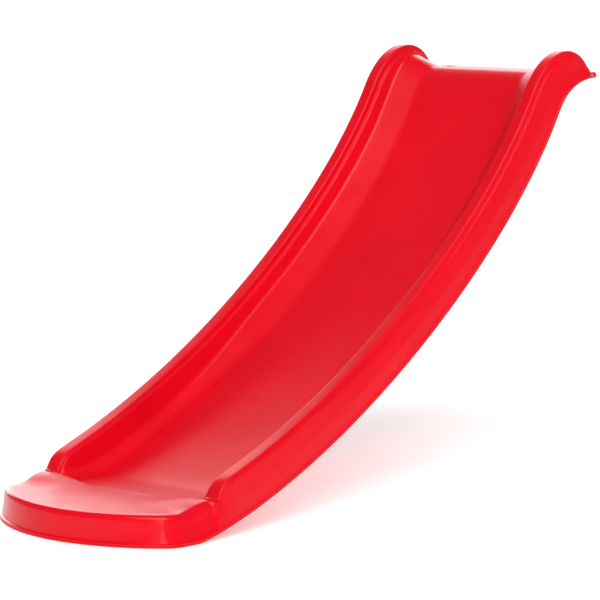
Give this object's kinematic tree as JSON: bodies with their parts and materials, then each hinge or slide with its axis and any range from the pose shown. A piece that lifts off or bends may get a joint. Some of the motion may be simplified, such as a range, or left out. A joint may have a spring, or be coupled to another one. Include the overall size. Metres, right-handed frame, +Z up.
{
  "type": "wave slide",
  "caption": "Low twin-skin plastic wave slide with raised rails, humped platform lip and a wide level run-out nose.",
  "frame": {"origin": "middle of the footprint, on the ground", "axes": "+X across the slide, +Y from the nose towards the lip on the platform, +Z up"},
  "size_m": [0.364, 1.045, 0.6444],
  "materials": {
    "red_plastic": "glossy moulded polyethylene, fine orange peel",
    "red_plastic_under": "moulded polyethylene, slightly duller",
    "sleeve_steel": "plain turned steel",
    "plug_plastic": "moulded polyethylene"
  },
  "bodies": {
    "root": {"chute_shell": "red_plastic", "underside_shell": "red_plastic_under", "lip_sleeves": "sleeve_steel", "vent_plugs": "plug_plastic"}
  },
  "joints": []
}
